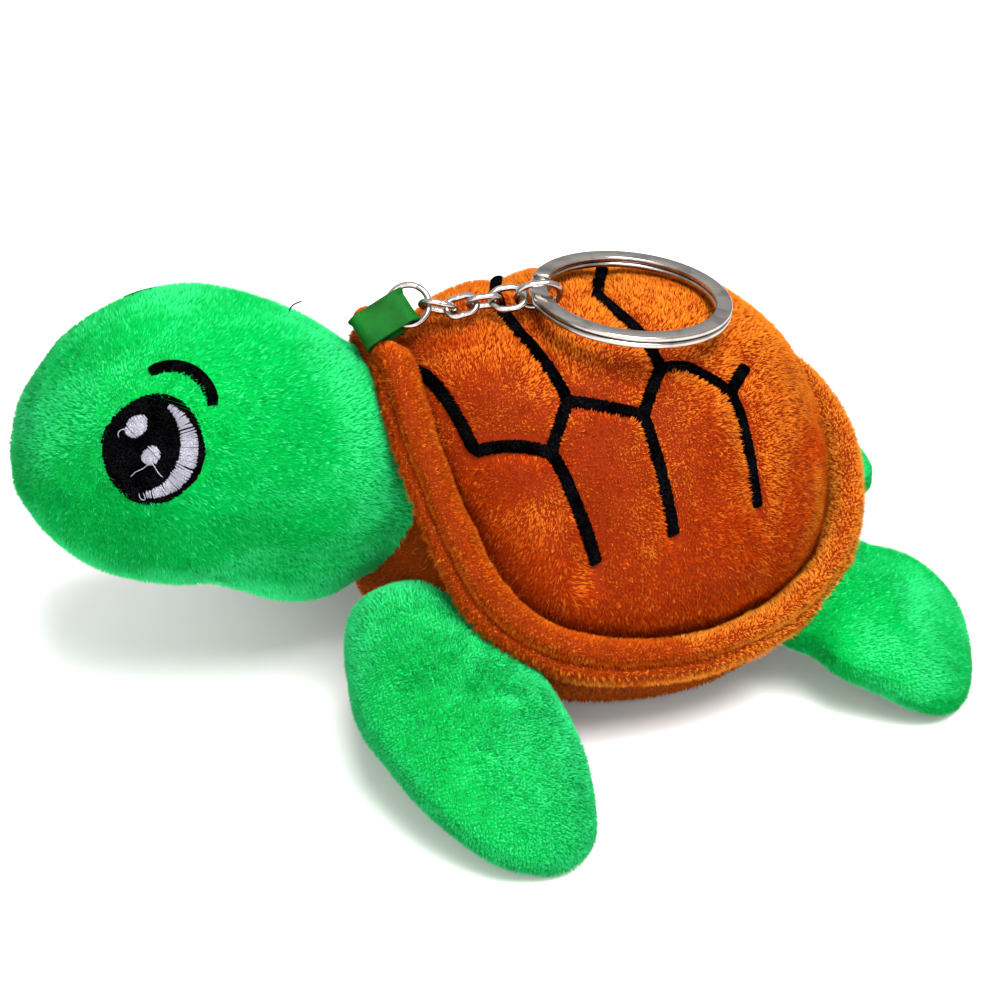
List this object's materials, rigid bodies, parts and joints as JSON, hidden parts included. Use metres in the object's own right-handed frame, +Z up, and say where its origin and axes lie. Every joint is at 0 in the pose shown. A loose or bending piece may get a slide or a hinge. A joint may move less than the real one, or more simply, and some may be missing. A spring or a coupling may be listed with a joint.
{
  "type": "plush turtle key ring",
  "caption": "Small stuffed plush sea turtle lying on its belly, with a domed shell, embroidered eyes and seams, and a short chain with a split ring laid over its back.",
  "frame": {"origin": "on the floor, under the middle of the whole toy", "axes": "+Z up, the head towards -Y, the left flippers towards +X"},
  "size_m": [0.1172, 0.136, 0.0628],
  "materials": {
    "brown_plush": "short pile plush",
    "green_plush": "short pile plush",
    "stuffing": "loose fibre",
    "black_thread": "satin stitch",
    "white_thread": "satin stitch",
    "green_ribbon": "satin weave",
    "nickel_wire": "bright nickel plating"
  },
  "bodies": {
    "body": {"shell_cover": "brown_plush", "belly_cover": "brown_plush", "body_filling": "stuffing", "shell_rim": "brown_plush", "shell_stitching": "black_thread", "ribbon_loop": "green_ribbon"},
    "head": {"head_cover": "green_plush", "head_filling": "stuffing", "left_eye_patch": "black_thread", "left_eye_upper_dot": "white_thread", "left_eye_lower_dot": "white_thread", "left_eye_crescent": "white_thread", "left_brow": "black_thread", "right_eye_patch": "black_thread", "right_eye_upper_dot": "white_thread", "right_eye_lower_dot": "white_thread", "right_eye_crescent": "white_thread", "right_brow": "black_thread"},
    "front_left_flipper": {"front_left_flipper_cover": "green_plush", "front_left_flipper_filling": "stuffing"},
    "front_right_flipper": {"front_right_flipper_cover": "green_plush", "front_right_flipper_filling": "stuffing"},
    "rear_left_flipper": {"rear_left_flipper_cover": "green_plush", "rear_left_flipper_filling": "stuffing"},
    "rear_right_flipper": {"rear_right_flipper_cover": "green_plush", "rear_right_flipper_filling": "stuffing"},
    "jump_ring": {"jump_ring": "nickel_wire"},
    "chain_link_1": {"chain_link_1": "nickel_wire"},
    "chain_link_2": {"chain_link_2": "nickel_wire"},
    "chain_link_3": {"chain_link_3": "nickel_wire"},
    "round_link": {"round_link": "nickel_wire"},
    "end_link": {"end_link": "nickel_wire"},
    "split_ring": {"split_ring": "nickel_wire"}
  },
  "joints": [
    {"name": "head_nod", "type": "hinge", "parent": "body", "child": "head", "pos_m": [0.0002, -0.01611, 0.035], "axis": [-1, 0, 0], "range_deg": [-5, 6], "stiffness_Nm_per_rad": 0.02},
    {"name": "front_left_flipper_lift", "type": "hinge", "parent": "body", "child": "front_left_flipper", "pos_m": [0.01972, -0.0148, 0.018], "axis": [-0.2079, -0.9781, 0], "range_deg": [0, 12], "stiffness_Nm_per_rad": 0.005},
    {"name": "front_right_flipper_lift", "type": "hinge", "parent": "body", "child": "front_right_flipper", "pos_m": [-0.01932, -0.0148, 0.018], "axis": [-0.309, 0.9511, 0], "range_deg": [0, 12], "stiffness_Nm_per_rad": 0.005},
    {"name": "rear_left_flipper_lift", "type": "hinge", "parent": "body", "child": "rear_left_flipper", "pos_m": [0.01683, 0.04545, 0.0125], "axis": [0.7314, -0.682, 0], "range_deg": [0, 12], "stiffness_Nm_per_rad": 0.005},
    {"name": "rear_right_flipper_lift", "type": "hinge", "parent": "body", "child": "rear_right_flipper", "pos_m": [-0.01644, 0.04545, 0.0125], "axis": [0.7986, 0.6018, 0], "range_deg": [0, 12], "stiffness_Nm_per_rad": 0.005},
    {"name": "jump_ring_swing", "type": "hinge", "parent": "body", "child": "jump_ring", "pos_m": [0.00137, -0.01408, 0.05771], "axis": [0.6956, 0.3648, -0.6189], "range_deg": [0, 12]},
    {"name": "chain_link_1_swing", "type": "hinge", "parent": "jump_ring", "child": "chain_link_1", "pos_m": [0.00184, -0.00926, 0.05926], "axis": [0.9867, -0.1627, 0], "range_deg": [0, 12]},
    {"name": "chain_link_2_swing", "type": "hinge", "parent": "chain_link_1", "child": "chain_link_2", "pos_m": [0.00241, -0.00578, 0.05824], "axis": [0.9867, -0.1627, 0], "range_deg": [0, 12]},
    {"name": "chain_link_3_swing", "type": "hinge", "parent": "chain_link_2", "child": "chain_link_3", "pos_m": [0.00291, -0.00275, 0.05908], "axis": [0.9867, -0.1627, 0], "range_deg": [0, 12]},
    {"name": "round_link_swing", "type": "hinge", "parent": "chain_link_3", "child": "round_link", "pos_m": [0.00343, 0.00037, 0.05939], "axis": [0.9867, -0.1627, 0], "range_deg": [0, 12]},
    {"name": "end_link_swing", "type": "hinge", "parent": "round_link", "child": "end_link", "pos_m": [0.00401, 0.00389, 0.0597], "axis": [0.9867, -0.1627, 0], "range_deg": [0, 12]},
    {"name": "split_ring_swing", "type": "hinge", "parent": "end_link", "child": "split_ring", "pos_m": [0.00461, 0.00757, 0.05993], "axis": [0.9867, -0.1627, 0], "range_deg": [0, 12]}
  ]
}
